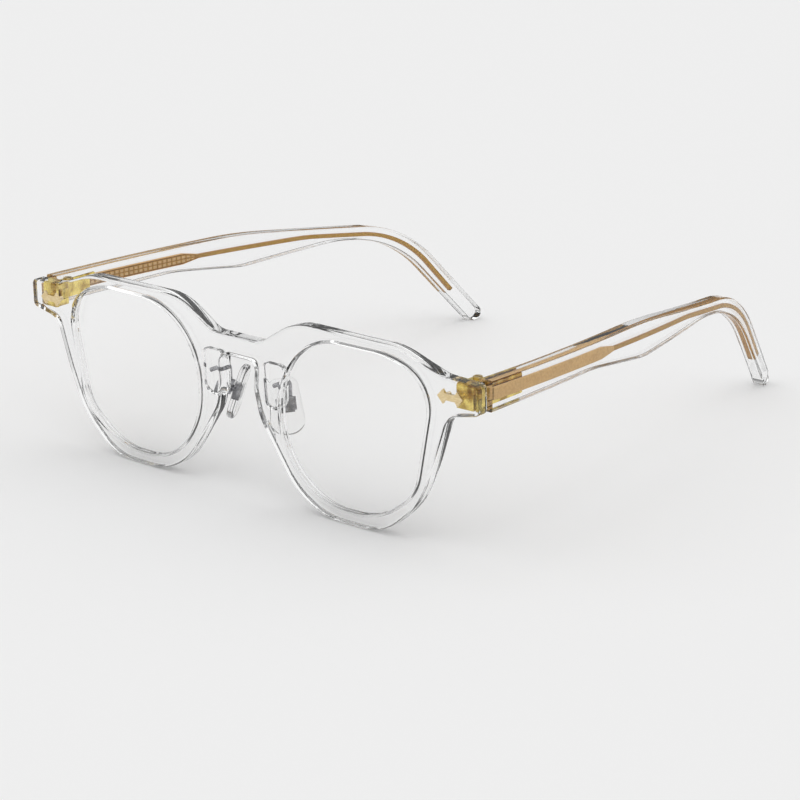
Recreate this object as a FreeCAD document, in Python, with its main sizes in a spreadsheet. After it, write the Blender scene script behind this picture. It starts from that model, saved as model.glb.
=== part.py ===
import FreeCAD, Part
import math
import os

import Sketcher
from FreeCAD import Placement, Rotation, Vector

# Clear acetate glasses with a gold-coloured core in each temple.
# Frame: +X is the wearer's left, -Y is the front, +Z is up, and Z = 0 is the
# surface that the rims and the temple tips stand on. Sketches put the bridge's
# front face at Y = 0; each sub-part's Placement then centres the object in Y.
# Every left-hand piece is modelled, and its right-hand twin is its mirror image.

doc = FreeCAD.newDocument("glasses")
sheet = doc.addObject("Spreadsheet::Sheet", "Dims")

# ---- driving dimensions (mm and degrees) -----------------------------------
DIMENSIONS = {
    "overall_length": 143.2,       # bridge face to the back of the temple tips
    "ground": 0.8,                 # the sketches' height of the surface it stands on
    "half_width": 69.0,            # middle to the outside of an end piece
    "front_bend": 2000.0,          # radius of the front's face curve, seen from above
    "front_thick": 3.6,
    "front_stock": 47.0,           # height of the sheet that the front is cut from
    "front_round": 0.7,            # polished edges of the front
    "opening_round": 0.5,
    "boss_back": 5.5,              # back of the nose bosses
    "boss_round": 0.7,
    "groove_deep": 0.7,            # lens groove in the rim
    "groove_half": 0.7,
    "groove_lead": 0.3,            # the V starts this far inside the opening
    "lens_bend": 250.0,
    "lens_thick": 2.0,
    "lens_front": 1.8,             # the lens face's middle, in front of the groove
    "lens_gap": 0.06,              # play between a lens and its groove
    "lens_mid_x": 33.6,            # a point of the plane that the groove lies in
    "lens_mid_y": 2.1,
    "lens_mid_z": 22.7,
    "lens_turn": 0.96,             # that plane follows the front's bend
    "temple_bend": 480.0,          # radius of a temple's outside, seen from above
    "temple_thick": 3.6,
    "temple_start": 6.1,           # face where a temple meets the front
    "temple_round": 0.45,
    "core_thick": 1.3,
    "core_start": 7.3,
    "core_end": 137.0,
    "squeeze": 0.05,               # metal that is pressed into acetate is this much larger
    "hinge_x": 63.6,
    "hinge_y": 7.9,
    "hinge_low": 33.5,
    "hinge_high": 39.1,
    "knuckle": 1.4,                # radius of the barrels
    "knuckle_mid": 2.4,            # height of the temple's barrel
    "knuckle_gap": 0.1,
    "pin": 0.6,                    # radius of the hinge screw
    "pin_gap": 0.04,
    "leaf_thick": 0.9,
    "front_leaf_y": 4.2,           # plate of the front leaf, sunk in the front's back
    "front_leaf_in": 61.9,
    "front_leaf_out": 66.4,
    "temple_leaf_x": 65.0,         # plate of the temple leaf, sunk in the temple's inside
    "temple_leaf_from": 7.0,
    "temple_leaf_to": 18.0,
    "temple_leaf_low": 34.1,
    "temple_leaf_high": 38.5,
    "screw_head": 1.05,
    "screw_head_high": 0.45,
    "screw_slot": 0.32,
    "rivet_x": 61.9,
    "rivet_z": 36.2,
    "rivet_long": 6.8,
    "rivet_high": 3.3,
    "rivet_waist": 1.5,
    "rivet_thick": 0.75,
    "rivet_proud": 0.35,
    "rivet_pin": 0.55,
    "rivet_pitch": 3.6,
    "rivet_reach": 3.4,            # its pins go this deep under the front's face
    "pad_x": 10.0,                 # middle of a nose pad's screw
    "pad_y": 7.6,
    "pad_z": 22.6,
    "pad_splay": 60.0,             # turn of the pad's screw about Z
    "pad_tilt": -18.0,             # lean of the pad, its lower end outwards
    "pad_thick": 1.9,
    "pad_off": 1.5,                # screw's middle to the back of the pad
    "pad_round": 0.75,
    "box_half": 1.1,               # half of the pad box across its screw
    "box_low": 1.3,
    "box_high": 1.75,
    "box_back": 1.35,
    "box_front": 0.9,
    "box_slot": 0.5,               # half of the slot that the pad's tab sits in
    "box_wall": 0.95,              # screw's middle to the slot's back and top
    "tab_half": 0.45,
    "tab_round": 0.85,
    "tab_web": 0.6,
    "foot_wide": 1.5,              # half sizes of the tab's foot inside the pad
    "foot_tall": 1.8,
    "foot_off": 2.0,
    "foot_thick": 0.5,
    "pad_pin": 0.4,
    "pad_pin_head": 0.7,
    "pad_pin_cap": 0.35,
    "arm": 0.5,                    # radius of a pad arm's wire
    "arm_x": 9.8,
    "arm_root": 3.4,
    "arm_z": 28.2,
    "arm_bend": 1.3,
    "arm_back": 7.9,
    "arm_low": 23.75,
}

# Outlines: corners (across, up, rounding radius), walked round once.
OUTLINES = {
    # the front's outer edge, right of the middle; it starts over the bridge
    "rim": [(-3, 38.3, 0), (7.4, 38.3, 7), (17.7, 44.8, 17), (47.6, 44.5, 18),
            (59.3, 40.3, 12), (69.0, 39.8, 1.2), (69.0, 33.1, 1.5), (60.6, 31.4, 4.0),
            (56.8, 19.9, 30), (52.5, 9.8, 22), (42.0, 0.8, 15), (19.9, 0.8, 20), (6.6, 20.3, 11),
            (5.0, 26.8, 6), (5.6, 33.2, 2.0), (-3, 33.2, 0)],
    # the daylight opening of a rim
    "eye": [(12.6, 41.9, 18), (43.8, 41.9, 24), (56.5, 38.0, 9.5), (51.4, 12.0, 11),
            (40.5, 3.9, 20), (20.6, 3.9, 18), (12.6, 17.8, 18)],
    # the raised boss behind a rim, which holds a nose pad's arm
    "boss": [(6.3, 33.2, 1.2), (12.4, 33.2, 1.2), (12.0, 22.4, 2.7), (7.0, 22.4, 1.9)],
    # a temple, seen from its side; across is the way back from the front
    "temple": [(6.0, 39.9, 0), (66.0, 38.4, 150), (119.2, 31.6, 36), (144.06, 2.74, 2.1),
               (140.84, -0.06, 2.1), (115.8, 28.5, 36), (97.0, 30.9, 45), (66.5, 29.6, 28),
               (44.0, 32.7, 55), (6.0, 32.9, 0)],
    # a nose pad, seen from the nose
    "pad": [(-2.8, 6.4, 2.5), (2.8, 6.4, 2.5), (4.1, -6.9, 3.5), (-4.1, -6.9, 3.5)],
    # a core: flat plate behind the hinge, narrowing to a wire that runs to the tip
    "core": [(7.3, 38.05, 0.4), (47.5, 36.82, 3), (52.82, 35.7, 4), (88.05, 34.0, 80),
             (118.96, 29.87, 32.5), (134.58, 11.12, 0.4), (133.82, 10.48, 0.4),
             (118.44, 28.93, 31.5), (87.95, 33.0, 79.4), (52.78, 34.7, 4),
             (47.5, 34.06, 3), (7.3, 35.29, 0.4)],
}


def store_dimensions():
    """Write the dimensions and the outlines' corners to the sheet, one cell each."""
    cells = dict(DIMENSIONS)
    for name, corners in OUTLINES.items():
        for number, corner in enumerate(corners, start=1):
            for axis, value in zip(("across", "up", "round"), corner):
                cells[f"{name}_{axis}_{number:02d}"] = value
    for row, (alias, value) in enumerate(cells.items(), start=1):
        sheet.set(f"A{row}", alias)
        sheet.set(f"B{row}", str(value))
        sheet.setAlias(f"B{row}", alias)
    doc.recompute()


def size(alias):
    return float(sheet.get(alias))


def outline(name):
    """An outline's corners as three cell names each."""
    return [tuple(f"{name}_{axis}_{number:02d}" for axis in ("across", "up", "round"))
            for number in range(1, len(OUTLINES[name]) + 1)]


# ---- sketch helpers ---------------------------------------------------------

def new_body(name):
    return doc.addObject("PartDesign::Body", name)


def new_sketch(body, name, role, offset=None):
    """A sketch on one of the body's own origin planes, moved by offset if given."""
    plane = next(item for item in body.Origin.OriginFeatures if item.Role == role)
    sketch = body.newObject("Sketcher::SketchObject", name)
    sketch.AttachmentSupport = [(plane, "")]
    sketch.MapMode = "FlatFace"
    if offset is not None:
        sketch.AttachmentOffset = offset
    return sketch


def drive(sketch, constraint, expression):
    """Add a constraint whose value comes from the sheet."""
    index = sketch.addConstraint(constraint)
    sketch.setExpression(f"Constraints[{index}]", expression)


def pin_point(sketch, geometry, point, across, up):
    """Hold a point of a sketch at two expressions."""
    for kind, expression in (("DistanceX", across), ("DistanceY", up)):
        value = worked_out(expression)
        drive(sketch, Sketcher.Constraint(kind, -1, 1, geometry, point, value), expression)


def moved_corner(points, i, grow):
    """How far corner i of a closed polygon moves when every side moves out by grow."""
    count = len(points)
    area = sum(points[k].x * points[(k + 1) % count].y - points[(k + 1) % count].x * points[k].y
               for k in range(count))
    out = -1 if area > 0 else 1
    before = (points[i] - points[i - 1]).normalize()
    after = (points[(i + 1) % count] - points[i]).normalize()
    normals = [Vector(-side.y, side.x, 0) * out for side in (before, after)]
    total = normals[0] + normals[1]
    return total * (grow * 2 / total.dot(total))


def rounded_loop(sketch, corners, grow="0"):
    """Draw a closed polygon with rounded corners, every corner driven by the sheet.

    grow is an expression: every side moves out by that much.
    """
    wider = worked_out(grow)
    points = [Vector(size(across), size(up), 0) for across, up, _ in corners]
    shifts = [moved_corner(points, i, 1.0) for i in range(len(points))]
    points = [point + shift * wider for point, shift in zip(points, shifts)]
    radii = [size(radius) for _, _, radius in corners]
    radii = [radius + wider if radius else 0 for radius in radii]
    corners = [(f"Dims.{across} + ({grow}) * {shift.x:.9f}", f"Dims.{up} + ({grow}) * {shift.y:.9f}",
                f"Dims.{radius} + ({grow})")
               for (across, up, radius), shift in zip(corners, shifts)]
    count = len(points)
    starts, ends, arcs = [], [], []
    for i, corner in enumerate(points):
        before = (points[i - 1] - corner).normalize()
        after = (points[(i + 1) % count] - corner).normalize()
        if radii[i] == 0:
            starts.append(corner)
            ends.append(corner)
            arcs.append(None)
            continue
        half = before.getAngle(after) / 2
        reach = radii[i] / math.tan(half)
        first = corner + before * reach
        last = corner + after * reach
        middle = (before + after).normalize()
        centre = corner + middle * (radii[i] / math.sin(half))
        starts.append(first)
        ends.append(last)
        arcs.append((Part.Arc(first, centre - middle * radii[i], last), centre))
    lines = []
    for i in range(count):
        line = Part.LineSegment(ends[i], starts[(i + 1) % count])
        lines.append(sketch.addGeometry(line, False))
    for i, (across, up, radius) in enumerate(corners):
        before, after = lines[i - 1], lines[i]
        if arcs[i] is None:
            sketch.addConstraint(Sketcher.Constraint("Coincident", before, 2, after, 1))
            pin_point(sketch, after, 1, across, up)
            continue
        arc = sketch.addGeometry(arcs[i][0], False)
        at_start = sketch.getPoint(arc, 1).distanceToPoint(starts[i]) < 1e-6
        near, far = (1, 2) if at_start else (2, 1)
        sketch.addConstraint(Sketcher.Constraint("Tangent", before, 2, arc, near))
        sketch.addConstraint(Sketcher.Constraint("Tangent", arc, far, after, 1))
        drive(sketch, Sketcher.Constraint("Radius", arc, radii[i]), radius)
        corner = sketch.addGeometry(Part.Point(points[i]), True)
        sketch.addConstraint(Sketcher.Constraint("PointOnObject", corner, 1, before))
        sketch.addConstraint(Sketcher.Constraint("PointOnObject", corner, 1, after))
        pin_point(sketch, corner, 1, across, up)


def polygon(sketch, points):
    """Draw a closed polygon; each corner is (across, up), as numbers or expressions."""
    places = [Vector(worked_out(across), worked_out(up), 0) for across, up in points]
    count = len(points)
    lines = [sketch.addGeometry(Part.LineSegment(places[i], places[(i + 1) % count]), False)
             for i in range(count)]
    for i, (across, up) in enumerate(points):
        sketch.addConstraint(Sketcher.Constraint("Coincident", lines[i - 1], 2, lines[i], 1))
        for kind, value, text in (("DistanceX", places[i].x, across),
                                  ("DistanceY", places[i].y, up)):
            drive(sketch, Sketcher.Constraint(kind, -1, 1, lines[i], 1, value), str(text))


def worked_out(text):
    """The number that an expression over the sheet's cells stands for."""
    return float(sheet.evalExpression(str(text)))


# ---- feature helpers --------------------------------------------------------

def extrude(body, kind, name, sketch, length, reverse=False, side="One side", taper=None):
    """A Pad or Pocket of a sketch; length and taper are expressions."""
    feature = body.newObject(f"PartDesign::{kind}", name)
    feature.Profile = sketch
    feature.SideType = side
    feature.Reversed = reverse
    feature.setExpression("Length", length)
    if taper is not None:
        feature.setExpression("TaperAngle", taper)
    doc.recompute()
    return feature


def turn(body, kind, name, sketch, axis, angle=360, reverse=False):
    """A Revolution or Groove of a sketch about one of its own axes."""
    feature = body.newObject(f"PartDesign::{kind}", name)
    feature.Profile = sketch
    feature.ReferenceAxis = (sketch, [axis])
    feature.Angle = angle
    feature.Reversed = reverse
    doc.recompute()
    return feature


def round_edges(body, name, base, radius, wanted):
    """Fillet the edges of base for which wanted(edge) holds; radius is an expression."""
    names = [f"Edge{i}" for i, edge in enumerate(base.Shape.Edges, start=1) if wanted(edge)]
    feature = body.newObject("PartDesign::Fillet", name)
    feature.Base = (base, names)
    feature.setExpression("Radius", radius)
    doc.recompute()
    return feature


def samples(edge, count=5):
    """Points spread along an edge."""
    first, last = edge.ParameterRange
    return [edge.valueAt(first + (last - first) * i / (count - 1)) for i in range(count)]


def disc(sketch, across, up, radius):
    """A circle driven by three expressions."""
    centre = Vector(worked_out(across), worked_out(up), 0)
    circle = sketch.addGeometry(Part.Circle(centre, Vector(0, 0, 1), worked_out(radius)), False)
    drive(sketch, Sketcher.Constraint("DistanceX", -1, 1, circle, 3, centre.x), across)
    drive(sketch, Sketcher.Constraint("DistanceY", -1, 1, circle, 3, centre.y), up)
    drive(sketch, Sketcher.Constraint("Radius", circle, worked_out(radius)), radius)


def block(body, kind, name, role, corners, length, offset=None, **options):
    """Pad or pocket of a driven polygon."""
    sketch = new_sketch(body, f"{name}_sketch", role, offset)
    polygon(sketch, corners)
    return extrude(body, kind, name, sketch, length, **options)


def bent_strip(sketch, centre, radii, ends, along):
    """A closed strip between two concentric arcs that runs along X or Y between two ends.

    centre, radii and ends are pairs of expressions; the ends are square to the run.
    """
    middle = Vector(worked_out(centre[0]), worked_out(centre[1]), 0)
    low, high = (worked_out(end) for end in ends)

    def place(radius, end):
        if along == "X":
            return Vector(end, middle.y - math.sqrt(radius**2 - (end - middle.x)**2), 0)
        return Vector(middle.x + math.sqrt(radius**2 - (end - middle.y)**2), end, 0)

    arcs = []
    for expression in radii:
        radius = worked_out(expression)
        through = [place(radius, end) for end in (low, (low + high) / 2, high)]
        arc = sketch.addGeometry(Part.Arc(*through), False)
        drive(sketch, Sketcher.Constraint("Radius", arc, radius), expression)
        arcs.append((arc, radius))
    drive(sketch, Sketcher.Constraint("DistanceX", -1, 1, arcs[0][0], 3, middle.x), centre[0])
    drive(sketch, Sketcher.Constraint("DistanceY", -1, 1, arcs[0][0], 3, middle.y), centre[1])
    sketch.addConstraint(Sketcher.Constraint("Coincident", arcs[0][0], 3, arcs[1][0], 3))
    for end, expression in zip((low, high), ends):
        line = sketch.addGeometry(
            Part.LineSegment(*(place(radius, end) for _, radius in arcs)), False)
        for point, (arc, radius) in enumerate(arcs, start=1):
            here = place(radius, end)
            near = 1 if sketch.getPoint(arc, 1).distanceToPoint(here) < 1e-6 else 2
            sketch.addConstraint(Sketcher.Constraint("Coincident", line, point, arc, near))
        square, measure = ("Vertical", "DistanceX") if along == "X" else ("Horizontal", "DistanceY")
        sketch.addConstraint(Sketcher.Constraint(square, line))
        drive(sketch, Sketcher.Constraint(measure, -1, 1, line, 1, end), expression)


# ---- front ------------------------------------------------------------------

STOCK = [("-10", "-10"), ("Dims.half_width + 10", "-10"),
         ("Dims.half_width + 10", "Dims.front_stock + 10"), ("-10", "Dims.front_stock + 10")]


def lens_plane(shift=0.0):
    """Where the lens groove's plane lies, or one shift mm in front of it, from the XZ plane."""
    middle = Vector(size("lens_mid_x"), size("lens_mid_z"), -size("lens_mid_y"))
    swing = Rotation(Vector(0, 1, 0), size("lens_turn"))
    back = Placement(Vector(-middle.x, -middle.y, shift), Rotation())
    return Placement(middle, swing) * back


V_TAPER = "atan(Dims.groove_deep / Dims.groove_half)"


def face_plane(depth):
    """The XZ plane moved to the arrow rivet's place, depth mm under the front's face."""
    across, bend = size("rivet_x"), size("front_bend")
    swing = math.asin(across / bend)
    face = Vector(across, size("rivet_z"), bend * math.cos(swing) - bend)
    return Placement(face, Rotation(Vector(0, 1, 0), math.degrees(swing))) \
        * Placement(Vector(0, 0, -depth), Rotation())


def arrow(sketch, shrink="0"):
    """The double-headed arrow, around the sketch's origin."""
    tip = f"Dims.rivet_long / 2 - 1.4 * {shrink}"
    wing = "Dims.rivet_long / 2 - 1.5"
    wing_up = f"Dims.rivet_high / 2 - {shrink}"
    neck = "Dims.rivet_long / 2 - 2.1"
    neck_up = f"Dims.rivet_waist / 2 - {shrink}"
    top = [(wing, wing_up), (neck, neck_up), (f"-1 * ({neck})", neck_up),
           (f"-1 * ({wing})", wing_up)]
    bottom = [(across, f"-1 * ({up})") for across, up in reversed(top)]
    polygon(sketch, [(tip, "0")] + top + [(f"-1 * ({tip})", "0")] + bottom)


def rivet_pins(sketch, radius):
    for side in ("-1", "1"):
        disc(sketch, f"{side} * Dims.rivet_pitch / 2", "0", radius)


def build_front():
    """The whole front: one piece of acetate, modelled as its left half and mirrored."""
    body = new_body("front")
    sketch = new_sketch(body, "front_bend_sketch", "XY_Plane")
    bent_strip(sketch, ("0", "Dims.front_bend"),
               ("Dims.front_bend", "Dims.front_bend - Dims.front_thick"),
               ("0", "Dims.half_width + 2"), "X")
    extrude(body, "Pad", "front_sheet", sketch, "Dims.front_stock")

    rim = new_sketch(body, "rim_sketch", "XZ_Plane")
    polygon(rim, STOCK)
    rounded_loop(rim, outline("rim"))
    extrude(body, "Pocket", "rim_cut", rim, "60", side="Symmetric")
    eye = new_sketch(body, "eye_sketch", "XZ_Plane")
    rounded_loop(eye, outline("eye"))
    cut = extrude(body, "Pocket", "eye_cut", eye, "60", side="Symmetric")
    cut = round_edges(body, "opening_edges", cut, "Dims.opening_round",
                      lambda edge: face_edge(eye, edge))
    cut = round_edges(body, "outer_edges", cut, "Dims.front_round",
                      lambda edge: face_edge(rim, edge))

    sketch = new_sketch(body, "boss_sketch", "XZ_Plane", Placement(
        Vector(0, 0, -size("boss_back")), Rotation()))
    rounded_loop(sketch, outline("boss"))
    cut = extrude(body, "Pad", "nose_boss", sketch, "Dims.boss_back - Dims.front_thick / 2")
    round_edges(body, "boss_edges", cut, "Dims.boss_round",
                lambda edge: all(abs(p.y - size("boss_back")) < 1e-6 for p in samples(edge)))

    reach = size("groove_half") + size("groove_lead")
    for name, shift, reverse in (("groove_front", reach, False), ("groove_back", -reach, True)):
        sketch = new_sketch(body, f"{name}_sketch", "XZ_Plane", lens_plane(shift))
        rounded_loop(sketch, outline("eye"), "-1 * Dims.groove_lead")
        extrude(body, "Pocket", name, sketch, "Dims.groove_half + Dims.groove_lead", reverse,
                taper=V_TAPER)

    recess = Placement(Vector(0, 0, -size("front_leaf_y") - size("squeeze")), Rotation())
    block(body, "Pocket", "leaf_recess", "XZ_Plane", LEAF_RECESS, "5", recess)
    sketch = new_sketch(body, "arrow_recess_sketch", "XZ_Plane",
                        face_plane(size("rivet_thick") - size("rivet_proud") - size("squeeze")))
    arrow(sketch, "Dims.squeeze")
    extrude(body, "Pocket", "arrow_recess", sketch, "3", reverse=True)
    sketch = new_sketch(body, "pin_holes_sketch", "XZ_Plane", face_plane(0))
    rivet_pins(sketch, "Dims.rivet_pin - Dims.squeeze")
    extrude(body, "Pocket", "pin_holes", sketch, "Dims.rivet_reach")
    sketch = new_sketch(body, "arm_hole_sketch", "XZ_Plane",
                        Placement(Vector(0, 0, -size("arm_root") - size("squeeze")), Rotation()))
    disc(sketch, "Dims.arm_x", "Dims.arm_z", "Dims.arm - Dims.squeeze")
    cut = extrude(body, "Pocket", "arm_hole", sketch, "5")

    whole = body.newObject("PartDesign::Mirrored", "front_mirror")
    whole.TransformMode = "Whole shape"
    whole.MirrorPlane = (next(item for item in body.Origin.OriginFeatures
                              if item.Role == "YZ_Plane"), [""])
    body.Tip = whole
    doc.recompute()
    return body


LEAF_RECESS = [("Dims.front_leaf_in + Dims.squeeze", "Dims.hinge_low + Dims.squeeze"),
               ("Dims.front_leaf_out - Dims.squeeze", "Dims.hinge_low + Dims.squeeze"),
               ("Dims.front_leaf_out - Dims.squeeze", "Dims.hinge_high - Dims.squeeze"),
               ("Dims.front_leaf_in + Dims.squeeze", "Dims.hinge_high - Dims.squeeze")]


def face_edge(sketch, edge):
    """True for an edge where the sketch's outline meets the front's face or its back."""
    bend, thick = size("front_bend"), size("front_thick")
    points = samples(edge)
    reach = [math.hypot(p.x, p.y - bend) for p in points]
    on_face = any(all(abs(r - face) < 1e-3 for r in reach) for face in (bend, bend - thick))
    flat = [Part.Vertex(p.x, 0, p.z) for p in points]
    return on_face and max(p.x for p in points) > 0.01 \
        and all(sketch.Shape.distToShape(point)[0] < 1e-3 for point in flat)


# ---- lens -------------------------------------------------------------------

def build_lens():
    """A lens: its outline padded, with a V ridge for the groove, cut to a bent shell."""
    body = new_body("lens_blank")
    sketch = new_sketch(body, "lens_sketch", "XZ_Plane", lens_plane())
    rounded_loop(sketch, outline("eye"), "-1 * Dims.lens_gap")
    extrude(body, "Pad", "lens_prism", sketch, "12", side="Symmetric")
    for name, shift, reverse in (("ridge_front", size("groove_half"), True),
                                 ("ridge_back", -size("groove_half"), False)):
        sketch = new_sketch(body, f"{name}_sketch", "XZ_Plane", lens_plane(shift))
        rounded_loop(sketch, outline("eye"), "-1 * Dims.lens_gap")
        extrude(body, "Pad", name, sketch, "Dims.groove_half", reverse, taper=V_TAPER)

    swing = Rotation(Vector(0, 0, 1), size("lens_turn"))
    middle = Vector(size("lens_mid_x"), size("lens_mid_y"), size("lens_mid_z"))
    centre = middle + swing.multVec(Vector(0, size("lens_bend") - size("lens_front"), 0))
    balls = []
    for name, radius in (("lens_face", "Dims.lens_bend"),
                         ("lens_inside", "Dims.lens_bend - Dims.lens_thick")):
        ball = doc.addObject("Part::Sphere", name)
        ball.setExpression("Radius", radius)
        ball.Placement = Placement(centre, Rotation())
        balls.append(ball)
    shell = combine("Cut", "lens_shell", *balls)
    return combine("Common", "lens", body, shell)


def combine(kind, name, base, tool):
    feature = doc.addObject(f"Part::{kind}", name)
    feature.Base = base
    feature.Tool = tool
    doc.recompute()
    return feature


# ---- temple and its core ----------------------------------------------------

def strip_body(name, outline_name, outer, inner, ends, grow="0"):
    """A bent strip of sheet, cut to an outline seen from the side."""
    body = new_body(name)
    sketch = new_sketch(body, f"{name}_bend_sketch", "XY_Plane")
    bent_strip(sketch, ("Dims.half_width - Dims.temple_bend", "Dims.temple_start"),
               (outer, inner), ends, "Y")
    extrude(body, "Pad", f"{name}_sheet", sketch, "45")
    sketch = new_sketch(body, f"{name}_side_sketch", "YZ_Plane")
    polygon(sketch, [("-10", "-10"), ("170", "-10"), ("170", "55"), ("-10", "55")])
    rounded_loop(sketch, outline(outline_name), grow)
    return body, extrude(body, "Pocket", f"{name}_cut", sketch, "200", side="Symmetric")


def long_edge(edge, outer, inner):
    """True for an edge on a strip's outer or inner face, away from its front end."""
    middle = Vector(size("half_width") - size("temple_bend"), size("temple_start"), 0)
    points = samples(edge)
    reach = [math.hypot(p.x - middle.x, p.y - middle.y) for p in points]
    on_face = any(all(abs(r - worked_out(face)) < 1e-3 for r in reach) for face in (outer, inner))
    return on_face and min(p.y for p in points) > size("temple_start") + 0.01


CORE_OUTER = "Dims.temple_bend - Dims.temple_thick / 2 + Dims.core_thick / 2"
CORE_INNER = "Dims.temple_bend - Dims.temple_thick / 2 - Dims.core_thick / 2"


def build_core():
    return strip_body("core", "core", CORE_OUTER, CORE_INNER,
                      ("Dims.core_start", "Dims.core_end"))[0]


def build_temple():
    """A temple, with the spaces for its core and for its hinge leaf."""
    outer, inner = "Dims.temple_bend", "Dims.temple_bend - Dims.temple_thick"
    body, cut = strip_body("temple_blank", "temple", outer, inner, ("Dims.temple_start", "152"))
    cut = round_edges(body, "temple_edges", cut, "Dims.temple_round",
                      lambda edge: long_edge(edge, outer, inner))
    block(body, "Pocket", "temple_leaf_recess", "YZ_Plane",
          [("Dims.temple_leaf_from + Dims.squeeze", "Dims.temple_leaf_low + Dims.squeeze"),
           ("Dims.temple_leaf_to - Dims.squeeze", "Dims.temple_leaf_low + Dims.squeeze"),
           ("Dims.temple_leaf_to - Dims.squeeze", "Dims.temple_leaf_high - Dims.squeeze"),
           ("Dims.temple_leaf_from + Dims.squeeze", "Dims.temple_leaf_high - Dims.squeeze")],
          "5", Placement(Vector(0, 0, size("temple_leaf_x") + size("leaf_thick")
                                - size("squeeze")), Rotation()))
    space, _ = strip_body("core_space", "core", f"{CORE_OUTER} - Dims.squeeze",
                          f"{CORE_INNER} + Dims.squeeze",
                          ("Dims.core_start + Dims.squeeze", "Dims.core_end"),
                          "-1 * Dims.squeeze")
    return combine("Cut", "temple", body, space)


# ---- hinge ------------------------------------------------------------------

def level(z):
    """A sketch offset that lifts the XY plane to height z."""
    return Placement(Vector(0, 0, z), Rotation())


def box_corners(low_x, high_x, low_y, high_y):
    return [(low_x, low_y), (high_x, low_y), (high_x, high_y), (low_x, high_y)]


def build_front_leaf():
    """The plate in the front's back, with the hinge's lower and upper barrels."""
    body = new_body("front_leaf")
    back = size("front_leaf_y") + size("leaf_thick")
    block(body, "Pad", "front_leaf_plate", "XZ_Plane",
          box_corners("Dims.front_leaf_in", "Dims.front_leaf_out",
                      "Dims.hinge_low", "Dims.hinge_high"),
          "Dims.leaf_thick", Placement(Vector(0, 0, -back), Rotation()))
    height = "Dims.hinge_high - Dims.hinge_low"
    block(body, "Pad", "front_leaf_web", "XY_Plane",
          box_corners("Dims.hinge_x - Dims.knuckle", "Dims.hinge_x + Dims.knuckle",
                      "Dims.front_leaf_y + 0.2", "Dims.hinge_y"),
          height, level(size("hinge_low")))
    sketch = new_sketch(body, "front_barrel_sketch", "XY_Plane", level(size("hinge_low")))
    disc(sketch, "Dims.hinge_x", "Dims.hinge_y", "Dims.knuckle")
    extrude(body, "Pad", "front_barrel", sketch, height)
    middle = (size("hinge_low") + size("hinge_high")) / 2
    top = middle + size("knuckle_mid") / 2 + size("knuckle_gap")
    block(body, "Pocket", "barrel_gap", "XY_Plane",
          box_corners("Dims.hinge_x - 3", "Dims.hinge_x + 3",
                      "Dims.front_leaf_y + Dims.leaf_thick", "Dims.hinge_y + 3"),
          "Dims.knuckle_mid + 2 * Dims.knuckle_gap", level(top))
    for name, z, radius in (("upper_bore", size("hinge_high") + 1, "Dims.pin + Dims.pin_gap"),
                            ("lower_bore", middle, "Dims.pin - Dims.squeeze")):
        sketch = new_sketch(body, f"{name}_sketch", "XY_Plane", level(z))
        disc(sketch, "Dims.hinge_x", "Dims.hinge_y", radius)
        extrude(body, "Pocket", name, sketch, "3.7")
    sketch = new_sketch(body, "leaf_pin_holes_sketch", "XZ_Plane", face_plane(0))
    rivet_pins(sketch, "Dims.rivet_pin - Dims.squeeze")
    extrude(body, "Pocket", "leaf_pin_holes", sketch, "7")
    return body


def build_temple_leaf():
    """The plate in the temple's inside, with the hinge's middle barrel."""
    body = new_body("temple_leaf")
    block(body, "Pad", "temple_leaf_plate", "YZ_Plane",
          box_corners("Dims.temple_leaf_from", "Dims.temple_leaf_to",
                      "Dims.temple_leaf_low", "Dims.temple_leaf_high"),
          "Dims.leaf_thick", level(size("temple_leaf_x")))
    low = (size("hinge_low") + size("hinge_high") - size("knuckle_mid")) / 2
    block(body, "Pad", "temple_leaf_web", "XY_Plane",
          box_corners("Dims.hinge_x", "Dims.temple_leaf_x + 0.3",
                      "Dims.temple_leaf_from", "Dims.hinge_y + 1"),
          "Dims.knuckle_mid", level(low))
    sketch = new_sketch(body, "temple_barrel_sketch", "XY_Plane", level(low))
    disc(sketch, "Dims.hinge_x", "Dims.hinge_y", "Dims.knuckle")
    extrude(body, "Pad", "temple_barrel", sketch, "Dims.knuckle_mid")
    sketch = new_sketch(body, "middle_bore_sketch", "XY_Plane", level(low + 5))
    disc(sketch, "Dims.hinge_x", "Dims.hinge_y", "Dims.pin + Dims.pin_gap")
    extrude(body, "Pocket", "middle_bore", sketch, "10")
    return body


def build_hinge_screw():
    body = new_body("screw")
    sketch = new_sketch(body, "screw_sketch", "XY_Plane", level(size("hinge_low")))
    disc(sketch, "Dims.hinge_x", "Dims.hinge_y", "Dims.pin")
    extrude(body, "Pad", "screw_shank", sketch, "Dims.hinge_high - Dims.hinge_low + 0.1")
    sketch = new_sketch(body, "screw_head_sketch", "XY_Plane", level(size("hinge_high")))
    disc(sketch, "Dims.hinge_x", "Dims.hinge_y", "Dims.screw_head")
    extrude(body, "Pad", "screw_head", sketch, "Dims.screw_head_high")
    block(body, "Pocket", "screw_slot", "XY_Plane",
          box_corners("Dims.hinge_x - 2", "Dims.hinge_x + 2",
                      "Dims.hinge_y - Dims.screw_slot / 2", "Dims.hinge_y + Dims.screw_slot / 2"),
          "Dims.screw_head_high / 2", level(size("hinge_high") + size("screw_head_high")))
    return body


def build_rivet():
    """The arrow-shaped plate on the front, with two pins that hold the hinge leaf."""
    body = new_body("rivet")
    sketch = new_sketch(body, "rivet_sketch", "XZ_Plane",
                        face_plane(size("rivet_thick") - size("rivet_proud")))
    arrow(sketch)
    extrude(body, "Pad", "rivet_plate", sketch, "Dims.rivet_thick")
    sketch = new_sketch(body, "rivet_pins_sketch", "XZ_Plane", face_plane(0))
    rivet_pins(sketch, "Dims.rivet_pin")
    extrude(body, "Pad", "rivet_shanks", sketch, "Dims.rivet_reach", reverse=True)
    return body


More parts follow.
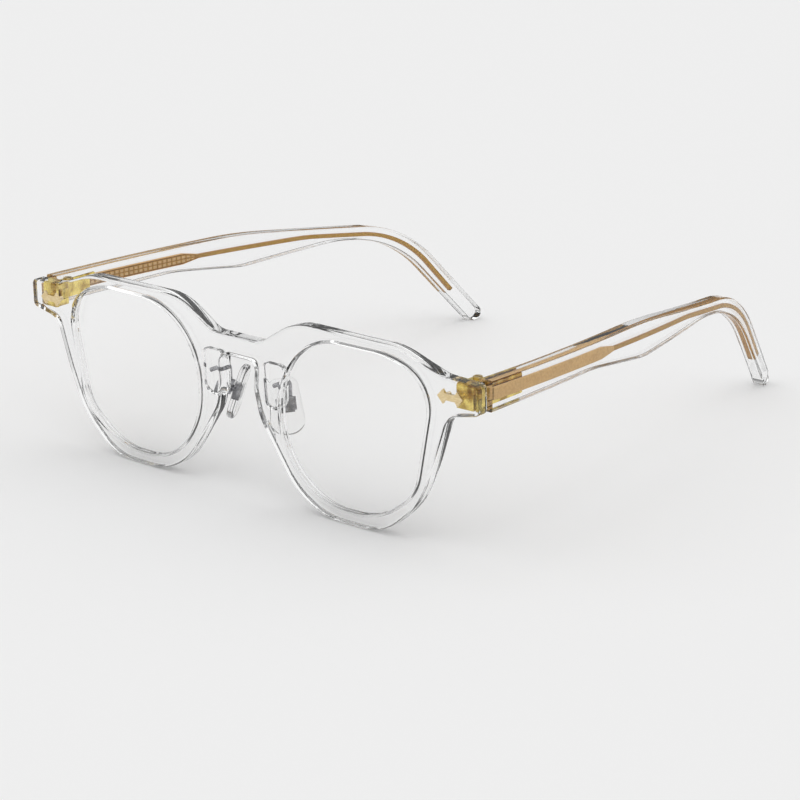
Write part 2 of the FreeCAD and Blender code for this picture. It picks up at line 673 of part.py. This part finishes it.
# ---- nose pads --------------------------------------------------------------
# The pad, its mount, its screw and its box are modelled around the screw's
# middle: X runs along the screw and +Y points at the nose.

def behind(y):
    """A sketch offset that moves the XZ plane back to y."""
    return Placement(Vector(0, 0, -y), Rotation())


def build_arm():
    """The wire that carries a nose pad's box; its root is sunk in the boss."""
    body = new_body("arm")
    bend = size("arm_back") - size("arm_bend")
    sketch = new_sketch(body, "arm_root_sketch", "XZ_Plane", behind(bend))
    disc(sketch, "Dims.arm_x", "Dims.arm_z", "Dims.arm")
    extrude(body, "Pad", "arm_straight", sketch, "Dims.arm_back - Dims.arm_bend - Dims.arm_root")
    sketch = new_sketch(body, "arm_bend_sketch", "XZ_Plane", behind(bend))
    disc(sketch, "Dims.arm_x", "Dims.arm_z", "Dims.arm")
    low = Vector(size("arm_x") - 2, size("arm_z") - size("arm_bend"), 0)
    axis = sketch.addGeometry(Part.LineSegment(low, low + Vector(4, 0, 0)), True)
    sketch.addConstraint(Sketcher.Constraint("Horizontal", axis))
    pin_point(sketch, axis, 1, "Dims.arm_x - 2", "Dims.arm_z - Dims.arm_bend")
    drive(sketch, Sketcher.Constraint("DistanceX", axis, 1, axis, 2, 4), "4")
    turn(body, "Revolution", "arm_corner", sketch, "Axis0", 90, reverse=True)
    sketch = new_sketch(body, "arm_drop_sketch", "XY_Plane",
                        level(size("arm_z") - size("arm_bend")))
    disc(sketch, "Dims.arm_x", "Dims.arm_back", "Dims.arm")
    extrude(body, "Pad", "arm_drop", sketch, "Dims.arm_z - Dims.arm_bend - Dims.arm_low",
            reverse=True)
    return body


def build_box():
    """A slotted box on the arm's end."""
    body = new_body("box_blank")
    height = "Dims.box_low + Dims.box_high"
    block(body, "Pad", "box_block", "XY_Plane",
          box_corners("-1 * Dims.box_half", "Dims.box_half",
                      "-1 * Dims.box_back", "Dims.box_front"),
          height, level(-size("box_low")))
    block(body, "Pocket", "box_slot_cut", "XY_Plane",
          box_corners("-1 * Dims.box_slot", "Dims.box_slot",
                      "-1 * Dims.box_wall", "Dims.box_front + 1"),
          "5", level(size("box_wall")))
    sketch = new_sketch(body, "box_bore_sketch", "YZ_Plane", level(5))
    disc(sketch, "0", "0", "Dims.pad_pin - Dims.squeeze / 2")
    extrude(body, "Pocket", "box_bore", sketch, "10")
    body.Placement = NOSE
    hole = doc.addObject("Part::Cylinder", "arm_end_space")
    hole.setExpression("Radius", "Dims.arm - Dims.squeeze")
    hole.Height = 3
    hole.Placement = Placement(Vector(size("arm_x"), size("arm_back"),
                                      size("arm_low") + size("squeeze")), Rotation())
    return combine("Cut", "box", body, hole)


def build_pad_screw():
    body = new_body("pad_screw")
    sketch = new_sketch(body, "pad_screw_sketch", "YZ_Plane", level(-size("box_half")))
    disc(sketch, "0", "0", "Dims.pad_pin")
    extrude(body, "Pad", "pad_screw_shank", sketch, "2 * Dims.box_half")
    sketch = new_sketch(body, "pad_screw_head_sketch", "YZ_Plane",
                        level(-size("box_half") - size("pad_pin_cap")))
    disc(sketch, "0", "0", "Dims.pad_pin_head")
    extrude(body, "Pad", "pad_screw_head", sketch, "Dims.pad_pin_cap")
    return body


def build_mount():
    """The tab on the screw and the foot that is moulded into the pad."""
    body = new_body("mount")
    sketch = new_sketch(body, "tab_sketch", "YZ_Plane")
    disc(sketch, "0", "0", "Dims.tab_round")
    extrude(body, "Pad", "tab", sketch, "2 * Dims.tab_half", side="Symmetric")
    block(body, "Pad", "tab_web", "YZ_Plane",
          box_corners("0", "Dims.foot_off + Dims.foot_thick / 2",
                      "-1 * Dims.tab_web", "Dims.tab_web"),
          "2 * Dims.tab_half", side="Symmetric")
    block(body, "Pad", "foot", "XZ_Plane",
          box_corners("-1 * Dims.foot_wide", "Dims.foot_wide",
                      "-1 * Dims.foot_tall", "Dims.foot_tall"),
          "Dims.foot_thick", behind(size("foot_off") + size("foot_thick")))
    sketch = new_sketch(body, "tab_bore_sketch", "YZ_Plane", level(5))
    disc(sketch, "0", "0", "Dims.pad_pin + Dims.pin_gap")
    extrude(body, "Pocket", "tab_bore", sketch, "10")
    return body


def build_pad():
    """A clear nose pad, moulded round the mount's foot."""
    body = new_body("pad")
    back = size("pad_off")
    sketch = new_sketch(body, "pad_sketch", "XZ_Plane", behind(back + size("pad_thick")))
    rounded_loop(sketch, outline("pad"))
    cut = extrude(body, "Pad", "pad_block", sketch, "Dims.pad_thick")
    round_edges(body, "pad_edges", cut, "Dims.pad_round",
                lambda edge: len({round(p.y, 6) for p in samples(edge)}) == 1)
    block(body, "Pocket", "foot_space", "XZ_Plane",
          box_corners("Dims.squeeze - Dims.foot_wide", "Dims.foot_wide - Dims.squeeze",
                      "Dims.squeeze - Dims.foot_tall", "Dims.foot_tall - Dims.squeeze"),
          "Dims.foot_thick - 2 * Dims.squeeze", behind(size("foot_off") + size("squeeze")))
    block(body, "Pocket", "web_space", "XZ_Plane",
          box_corners("Dims.squeeze - Dims.tab_half", "Dims.tab_half - Dims.squeeze",
                      "Dims.squeeze - Dims.tab_web", "Dims.tab_web - Dims.squeeze"),
          "Dims.foot_off - Dims.pad_off + 0.2", behind(back - 0.1))
    return body


# ---- the object -------------------------------------------------------------

store_dimensions()
NOSE = Placement(Vector(size("pad_x"), size("pad_y"), size("pad_z")),
                 Rotation(Vector(0, 0, 1), size("pad_splay"))
                 * Rotation(Vector(1, 0, 0), size("pad_tilt")))
CENTRED = Placement(Vector(0, -size("overall_length") / 2, -size("ground")), Rotation())
STAY = Placement()

front = build_front()
PAIRS = [("lens", build_lens(), STAY),
         ("temple", build_temple(), STAY),
         ("temple_core", build_core(), STAY),
         ("hinge_front_leaf", build_front_leaf(), STAY),
         ("hinge_temple_leaf", build_temple_leaf(), STAY),
         ("hinge_screw", build_hinge_screw(), STAY),
         ("arrow_rivet", build_rivet(), STAY),
         ("nose_pad_arm", build_arm(), STAY),
         ("nose_pad_box", build_box(), STAY),
         ("nose_pad_screw", build_pad_screw(), NOSE),
         ("nose_pad_mount", build_mount(), NOSE),
         ("nose_pad", build_pad(), NOSE)]

front.Label = "frame_front"
front.Placement = CENTRED
sub_parts = [front]
for label, left, place in PAIRS:
    left.Label = f"{label}_left"
    left.Placement = CENTRED * place
    right = doc.addObject("Part::Mirroring", f"{left.Name}_twin")
    right.Source = left
    right.Base = Vector(0, 0, 0)
    right.Normal = Vector(1, 0, 0)
    right.Label = f"{label}_right"
    sub_parts += [left, right]
doc.recompute()

for item in doc.Objects:
    if "Invalid" in item.State or "Error" in item.State:
        raise RuntimeError(f"{item.Name} did not compute: {item.State}")
os.makedirs("parts", exist_ok=True)
for item in sub_parts:
    if item.Shape.isNull() or not item.Shape.isValid():
        raise RuntimeError(f"{item.Label} has no valid shape")
    item.Shape.exportStep(f"parts/{item.Label}.step")
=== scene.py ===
import math

import bmesh
import bpy
from mathutils import Matrix, Vector


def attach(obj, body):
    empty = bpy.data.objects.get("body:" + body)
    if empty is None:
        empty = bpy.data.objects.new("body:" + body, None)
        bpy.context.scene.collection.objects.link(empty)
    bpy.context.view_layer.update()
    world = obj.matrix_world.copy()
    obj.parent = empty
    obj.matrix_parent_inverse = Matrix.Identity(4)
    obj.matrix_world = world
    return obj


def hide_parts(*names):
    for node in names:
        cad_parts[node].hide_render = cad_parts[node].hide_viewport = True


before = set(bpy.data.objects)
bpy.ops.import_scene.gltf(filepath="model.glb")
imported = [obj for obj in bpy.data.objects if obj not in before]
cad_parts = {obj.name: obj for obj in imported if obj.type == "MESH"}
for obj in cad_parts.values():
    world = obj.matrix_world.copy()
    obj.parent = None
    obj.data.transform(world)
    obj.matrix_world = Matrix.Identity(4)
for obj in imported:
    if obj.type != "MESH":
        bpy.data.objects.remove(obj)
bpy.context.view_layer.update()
MM = 0.001
scene = bpy.context.scene


# ---- camera, light and floor ------------------------------------------------

# angles in degrees, the point looked at in millimetres, the distance in metres
AZIMUTH, ELEVATION, ROLL = 41.01, 18.19, -0.95
AIM = (10.28, -27.505, 13.22)
DISTANCE = 0.62695
FOCAL_LENGTH, SENSOR_WIDTH = 119.5, 36

SKY, KEY, FILL = 0.86, 0.78, 0.70
KEY_SPREAD, FILL_SPREAD = 80, 100
# the sky's grey by height: darker below the horizon
SKY_TONES = [(0.0, 0.08), (0.12, 0.22), (0.35, 0.66), (1.0, 0.72)]
FLOOR_HALF, FLOOR_TONE = 8, 0.88


def make_camera():
    azimuth, elevation, roll = (math.radians(angle) for angle in (AZIMUTH, ELEVATION, ROLL))
    back = Vector((math.sin(azimuth) * math.cos(elevation),
                   -math.cos(azimuth) * math.cos(elevation), math.sin(elevation)))
    right = Vector((math.cos(azimuth), math.sin(azimuth), 0))
    up = back.cross(right)
    across = right * math.cos(roll) + up * math.sin(roll)
    upward = up * math.cos(roll) - right * math.sin(roll)
    camera = bpy.data.objects.new("camera", bpy.data.cameras.new("camera"))
    scene.collection.objects.link(camera)
    camera.data.lens = FOCAL_LENGTH
    camera.data.sensor_width = SENSOR_WIDTH
    camera.data.clip_start = 0.05
    camera.data.clip_end = 20
    aim = Vector(AIM) * MM
    turn = Matrix((across, upward, back)).transposed().to_4x4()
    camera.matrix_world = Matrix.Translation(aim + back * DISTANCE) @ turn
    scene.camera = camera


def noise(nodes, links, scale, detail=3.0, stretch=None):
    """A noise texture over the piece's own coordinates; stretch scales x, y and z."""
    coordinates = nodes.new("ShaderNodeTexCoord")
    texture = nodes.new("ShaderNodeTexNoise")
    texture.inputs["Scale"].default_value = scale
    texture.inputs["Detail"].default_value = detail
    if stretch is None:
        links.new(coordinates.outputs["Object"], texture.inputs["Vector"])
    else:
        mapping = nodes.new("ShaderNodeMapping")
        mapping.inputs["Scale"].default_value = stretch
        links.new(coordinates.outputs["Object"], mapping.inputs["Vector"])
        links.new(mapping.outputs["Vector"], texture.inputs["Vector"])
    return texture.outputs["Fac"]


def ramp(nodes, links, source, stops):
    """Colours along a source; stops are (place, colour) pairs."""
    node = nodes.new("ShaderNodeValToRGB")
    elements = node.color_ramp.elements
    while len(elements) < len(stops):
        elements.new(0.5)
    for element, (place, colour) in zip(elements, stops):
        element.position = place
        element.color = (*colour, 1)
    links.new(source, node.inputs["Fac"])
    return node.outputs["Color"]


def spread(nodes, links, source, low, high):
    """Map a 0 to 1 source to a range."""
    node = nodes.new("ShaderNodeMapRange")
    node.inputs["To Min"].default_value = low
    node.inputs["To Max"].default_value = high
    links.new(source, node.inputs["Value"])
    return node.outputs["Result"]


def bump(nodes, links, shader, source, distance):
    """Raise the shader's surface by a source, over a distance in metres."""
    node = nodes.new("ShaderNodeBump")
    node.inputs["Strength"].default_value = 1.0
    node.inputs["Distance"].default_value = distance
    links.new(source, node.inputs["Height"])
    links.new(node.outputs["Normal"], shader.inputs["Normal"])


def make_room():
    world = bpy.data.worlds.new("room")
    world.use_nodes = True
    nodes, links = world.node_tree.nodes, world.node_tree.links
    coordinates = nodes.new("ShaderNodeTexCoord")
    split = nodes.new("ShaderNodeSeparateXYZ")
    links.new(coordinates.outputs["Generated"], split.inputs["Vector"])
    sky = ramp(nodes, links, split.outputs["Z"], [(place, (tone,) * 3) for place, tone in SKY_TONES])
    links.new(sky, nodes["Background"].inputs["Color"])
    nodes["Background"].inputs["Strength"].default_value = SKY
    scene.world = world
    scene.view_settings.view_transform = "Standard"
    make_floor()
    add_sun("key", (-0.5, -0.55, 1.4), KEY_SPREAD, KEY)
    add_sun("fill", (0.7, 0.5, 1.3), FILL_SPREAD, FILL)


def make_floor():
    floor_mesh = bpy.data.meshes.new("floor")
    s = FLOOR_HALF
    floor_mesh.from_pydata([(-s, -s, 0), (s, -s, 0), (s, s, 0), (-s, s, 0)], [], [(0, 1, 2, 3)])
    floor = bpy.data.objects.new("floor", floor_mesh)
    scene.collection.objects.link(floor)
    material, nodes, _ = new_material("floor")
    shader = nodes["Principled BSDF"]
    shader.inputs["Base Color"].default_value = (FLOOR_TONE, FLOOR_TONE, FLOOR_TONE, 1)
    shader.inputs["Roughness"].default_value = 0.9
    shader.inputs["Specular IOR Level"].default_value = 0.0
    floor_mesh.materials.append(material)


def add_sun(name, place, spread_angle, power):
    """A soft sun that shines from a place towards the origin."""
    lamp = bpy.data.lights.new(name, "SUN")
    lamp.angle = math.radians(spread_angle)
    lamp.energy = power
    light = bpy.data.objects.new(name, lamp)
    scene.collection.objects.link(light)
    light.location = place
    light.rotation_euler = (-Vector(place)).to_track_quat("-Z", "Y").to_euler()


# ---- materials --------------------------------------------------------------

def new_material(name):
    """A material with its nodes and links."""
    material = bpy.data.materials.new(name)
    material.use_nodes = True
    return material, material.node_tree.nodes, material.node_tree.links


def clear_material(name, low, high, ior, rough, ripple):
    """Clear plastic: a hardly visible cloudiness, fine polishing marks and a slight ripple."""
    material, nodes, links = new_material(name)
    shader = nodes["Principled BSDF"]
    shader.inputs["IOR"].default_value = ior
    shader.inputs["Transmission Weight"].default_value = 1
    links.new(ramp(nodes, links, noise(nodes, links, 90), [(0.3, low), (0.7, high)]),
              shader.inputs["Base Color"])
    links.new(spread(nodes, links, noise(nodes, links, 500), *rough), shader.inputs["Roughness"])
    if ripple:
        bump(nodes, links, shader, noise(nodes, links, 220, 1.0), ripple)
    return material


def metal_material(name, dark, light, rough, grain, depth, stretch=None):
    """Plated metal: a mottled tone, uneven gloss and a fine grain."""
    material, nodes, links = new_material(name)
    shader = nodes["Principled BSDF"]
    shader.inputs["Metallic"].default_value = 1
    tone = noise(nodes, links, grain, 4.0, stretch)
    links.new(ramp(nodes, links, tone, [(0.38, dark), (0.62, light)]), shader.inputs["Base Color"])
    links.new(spread(nodes, links, tone, *rough), shader.inputs["Roughness"])
    bump(nodes, links, shader, noise(nodes, links, grain * 2, 2.0, stretch), depth)
    return material


def core_material():
    """Gold plating with painted shade, darker in the valleys of the knurling and on the wire's rounded
    edges, with a granular face.
    """
    material, nodes, links = new_material("core_gold")
    shader = nodes["Principled BSDF"]
    shader.inputs["Metallic"].default_value = 0.35
    relief_shade = nodes.new("ShaderNodeAttribute")
    relief_shade.attribute_name = "relief_shade"
    # painted shade: the gold darkens into the knurling's valleys and on the wire's rounded edges
    valley_shade = ramp(nodes, links, relief_shade.outputs["Fac"],
                  [(0.0, (0.40, 0.17, 0.03)), (0.45, (0.80, 0.46, 0.13)), (0.6, (0.70, 0.42, 0.08)),
                   (0.8, (1.0, 0.66, 0.27)), (1.0, (1.0, 0.72, 0.38))])
    speckle = ramp(nodes, links, noise(nodes, links, 1800, 4.0),
                   [(0.35, (0.86, 0.80, 0.74)), (0.65, (1.0, 1.0, 1.0))])
    mix = nodes.new("ShaderNodeMix")
    mix.data_type = "RGBA"
    mix.blend_type = "MULTIPLY"
    mix.inputs["Factor"].default_value = 1
    links.new(valley_shade, mix.inputs["A"])
    links.new(speckle, mix.inputs["B"])
    links.new(mix.outputs["Result"], shader.inputs["Base Color"])
    links.new(spread(nodes, links, noise(nodes, links, 900), 0.38, 0.55), shader.inputs["Roughness"])
    bump(nodes, links, shader, noise(nodes, links, 3500, 3.0), 0.00004)
    return material


def dress():
    """Give every CAD node its material; the longer name starts come before the shorter."""
    acetate = clear_material("acetate", (0.985, 0.988, 0.988), (0.998, 0.998, 0.998), 1.47, (0.0, 0.035),
                             0.00002)
    lens = clear_material("lens", (0.997, 0.997, 0.994), (1.0, 1.0, 0.999), 1.4, (0.0, 0.008), 0)
    pad = clear_material("pad", (0.96, 0.96, 0.96), (0.985, 0.985, 0.985), 1.43, (0.03, 0.09), 0.00002)
    hinge = metal_material("hinge_gold", (0.42, 0.26, 0.05), (0.95, 0.76, 0.22), (0.15, 0.35), 420, 0.00003)
    rivet = metal_material("rivet_gold", (0.74, 0.57, 0.30), (0.90, 0.74, 0.46), (0.22, 0.38), 900,
                           0.00001, (1, 1, 4))
    screw = metal_material("screw_gold", (0.50, 0.38, 0.16), (0.78, 0.62, 0.32), (0.2, 0.35), 800, 0.00001)
    dark = metal_material("nose_metal", (0.16, 0.16, 0.17), (0.42, 0.42, 0.44), (0.15, 0.35), 700, 0.00001)
    looks = [("lens", lens), ("temple_core", hinge), ("temple", acetate), ("frame", acetate),
             ("nose_pad_arm", dark), ("nose_pad_box", dark), ("nose_pad_screw", dark),
             ("nose_pad_mount", dark), ("nose_pad", pad), ("arrow_rivet", rivet),
             ("hinge_screw", screw), ("hinge", hinge)]
    for name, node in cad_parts.items():
        node.data.materials.clear()
        node.data.materials.append(next(look for start, look in looks if name.startswith(start)))


# ---- the temples' cores -----------------------------------------------------
# In millimetres. A route's points are (y, z), seen from the side; x follows the bend.

# the bend, seen from above: its centre and the radius of a core's middle
BEND_X, BEND_Y, BEND = -411.0, -65.5, 478.2
# the plate ends at its shoulder, and from there it narrows to the neck
PLATE_START, SHOULDER, NECK = (-64.32, 35.87), (-24.1, 34.64), (-18.8, 34.4)
# the wire's corners, each with its radius
WIRE = [(*NECK, 0), (16.4, 32.7, 80), (47.1, 28.6, 32), (62.6, 10.0, 0)]
HALF_PLATE, HALF_WIRE, HALF_THICK, CORNER = 1.41, 0.53, 0.67, 0.2
# the knurling: length and height of a check, depth, plain margin and the margin's slope
CHECK_LONG, CHECK_HIGH, CHECK_DEEP = 1.55, 1.0, 0.17
CHECK_MARGIN, CHECK_SLOPE = 0.3, 0.25
# distances between rings along the plate, the taper and the wire
PLATE_STEP, TAPER_STEP, WIRE_STEP = 0.18, 0.25, 0.9
FACE_POINTS, CORNER_PARTS = 25, 4
# painted shade levels where there is no knurling: the plain plate, and the wire's faces, with painted shade
# darker on its rounded edges
PLAIN_PLATE, WIRE_FACE, WIRE_EDGE = 0.82, 0.62, 0.3


def run(start, end, step):
    """Points along a straight line, about a step apart, without the last."""
    count = max(1, round((Vector(end) - Vector(start)).length / step))
    return [Vector(start).lerp(Vector(end), i / count) for i in range(count)]


def rounded_path(corners, step):
    """Points along straight runs joined by arcs; a corner is (y, z, radius)."""
    points, last = [], Vector(corners[0][:2])
    for before, corner, after in zip(corners, corners[1:], corners[2:]):
        here = Vector(corner[:2])
        back = (Vector(before[:2]) - here).normalized()
        on = (Vector(after[:2]) - here).normalized()
        half = back.angle(on) / 2
        first = here + back * (corner[2] / math.tan(half))
        centre = here + (back + on).normalized() * (corner[2] / math.sin(half))
        sweep = math.pi - 2 * half
        points += run(last, first, step)
        arm = first - centre
        turn = -1 if back.cross(on) > 0 else 1
        count = max(2, round(corner[2] * sweep / step))
        for i in range(count + 1):
            a = turn * sweep * i / count
            last = centre + Vector((arm.x * math.cos(a) - arm.y * math.sin(a),
                                    arm.x * math.sin(a) + arm.y * math.cos(a)))
            points.append(last)
        last = points.pop()
    return points + run(last, corners[-1][:2], step) + [Vector(corners[-1][:2])]


def ring(half):
    """A rounded rectangle as (across, thickness) pairs; the thickness is + outside."""
    inside, outside = [], []
    for i in range(FACE_POINTS):
        v = -1 + 2 * i / (FACE_POINTS - 1)
        inside.append((v * (half - CORNER), -HALF_THICK))
        outside.append((-v * (half - CORNER), HALF_THICK))
    corners = []
    for across, out in ((1, -1), (1, 1), (-1, 1), (-1, -1)):
        corner = []
        for i in range(1, CORNER_PARTS):
            a = math.pi / 2 * i / CORNER_PARTS
            u, w = math.sin(a), math.cos(a)
            if across == out:
                u, w = w, u
            corner.append((across * (half - CORNER + CORNER * u),
                           out * (HALF_THICK - CORNER + CORNER * w)))
        corners.append(corner)
    return inside + corners[0] + corners[1] + outside + corners[2] + corners[3]


def check(y, across, half):
    """Height of the knurling, 0 in its valleys and 1 on its pyramids."""
    high = max(0.0, min(1.0, (half - CHECK_MARGIN - abs(across)) / CHECK_SLOPE))
    a = abs(math.sin(math.pi * y / CHECK_LONG))
    b = abs(math.sin(math.pi * across / CHECK_HIGH))
    return min(1.0, 1.5 * min(a, b)) * high


def half_width(y):
    """Half the core's height at a place along it."""
    narrow = max(0.0, min(1.0, (y - SHOULDER[0]) / (NECK[0] - SHOULDER[0])))
    return HALF_PLATE + (HALF_WIRE - HALF_PLATE) * narrow


def surface(place, across, out, half):
    """A ring point's thickness with the knurling added, and its painted shade level."""
    if out == -HALF_THICK and place < NECK[0]:
        height_and_shade = check(place, across, half)
        return out - CHECK_DEEP * height_and_shade, height_and_shade
    if place < NECK[0]:
        return out, PLAIN_PLATE
    # the wire's rounded edges get a darker level: painted shade
    on_face = abs(across) < half - CORNER or abs(out) < HALF_THICK - CORNER
    return out, WIRE_FACE if on_face else WIRE_EDGE


def core_points(path, side):
    """The rings' vertices along the path, and each one's painted shade level."""
    vertices, relief_shade = [], []
    for k, here in enumerate(path):
        ahead = path[min(k + 1, len(path) - 1)] - path[max(k - 1, 0)]
        ahead.normalize()
        half = half_width(here.x)
        for across, out in ring(half):
            y = here.x - ahead.y * across
            z = here.y + ahead.x * across
            out, height_and_shade = surface(here.x, across, out, half)
            x = BEND_X + math.sqrt((BEND + out)**2 - (y - BEND_Y)**2)
            vertices.append(Vector((side * x, y, z)) * MM)
            relief_shade.append(height_and_shade)
    return vertices, relief_shade


def core_faces(rings, side):
    """The faces between the rings, and the two ends."""
    count = len(ring(1))
    faces = []
    for k in range(rings - 1):
        for i in range(count):
            j = (i + 1) % count
            face = [k * count + i, k * count + j, (k + 1) * count + j, (k + 1) * count + i]
            faces.append(face if side > 0 else face[::-1])
    for k, flip in ((0, True), (rings - 1, False)):
        cap = [k * count + i for i in range(count)]
        faces.append(cap[::-1] if flip == (side > 0) else cap)
    return faces


def make_core(side, material):
    """A core: a plate, checkered on its inner face, that narrows to a wire. Side +1 is the left."""
    path = run(PLATE_START, SHOULDER, PLATE_STEP) + run(SHOULDER, NECK, TAPER_STEP)
    path += rounded_path(WIRE, WIRE_STEP)
    vertices, relief_shade = core_points(path, side)
    name = "left" if side > 0 else "right"
    mesh = bpy.data.meshes.new(f"core_{name}")
    mesh.from_pydata(vertices, [], core_faces(len(path), side))
    mesh.validate()
    # the painted shade levels, read by the core's gold colour
    attribute = mesh.attributes.new("relief_shade", "FLOAT", "POINT")
    attribute.data.foreach_set("value", relief_shade)
    outward = bmesh.new()
    outward.from_mesh(mesh)
    bmesh.ops.recalc_face_normals(outward, faces=outward.faces)
    outward.to_mesh(mesh)
    outward.free()
    for polygon in mesh.polygons:
        polygon.use_smooth = len(polygon.vertices) == 4
    mesh.materials.append(material)
    piece = bpy.data.objects.new(f"core_{name}", mesh)
    scene.collection.objects.link(piece)
    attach(piece, f"temple_assembly_{name}")
    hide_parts(f"temple_core_{name}")


make_camera()
make_room()
dress()
core_gold = core_material()
make_core(1, core_gold)
make_core(-1, core_gold)
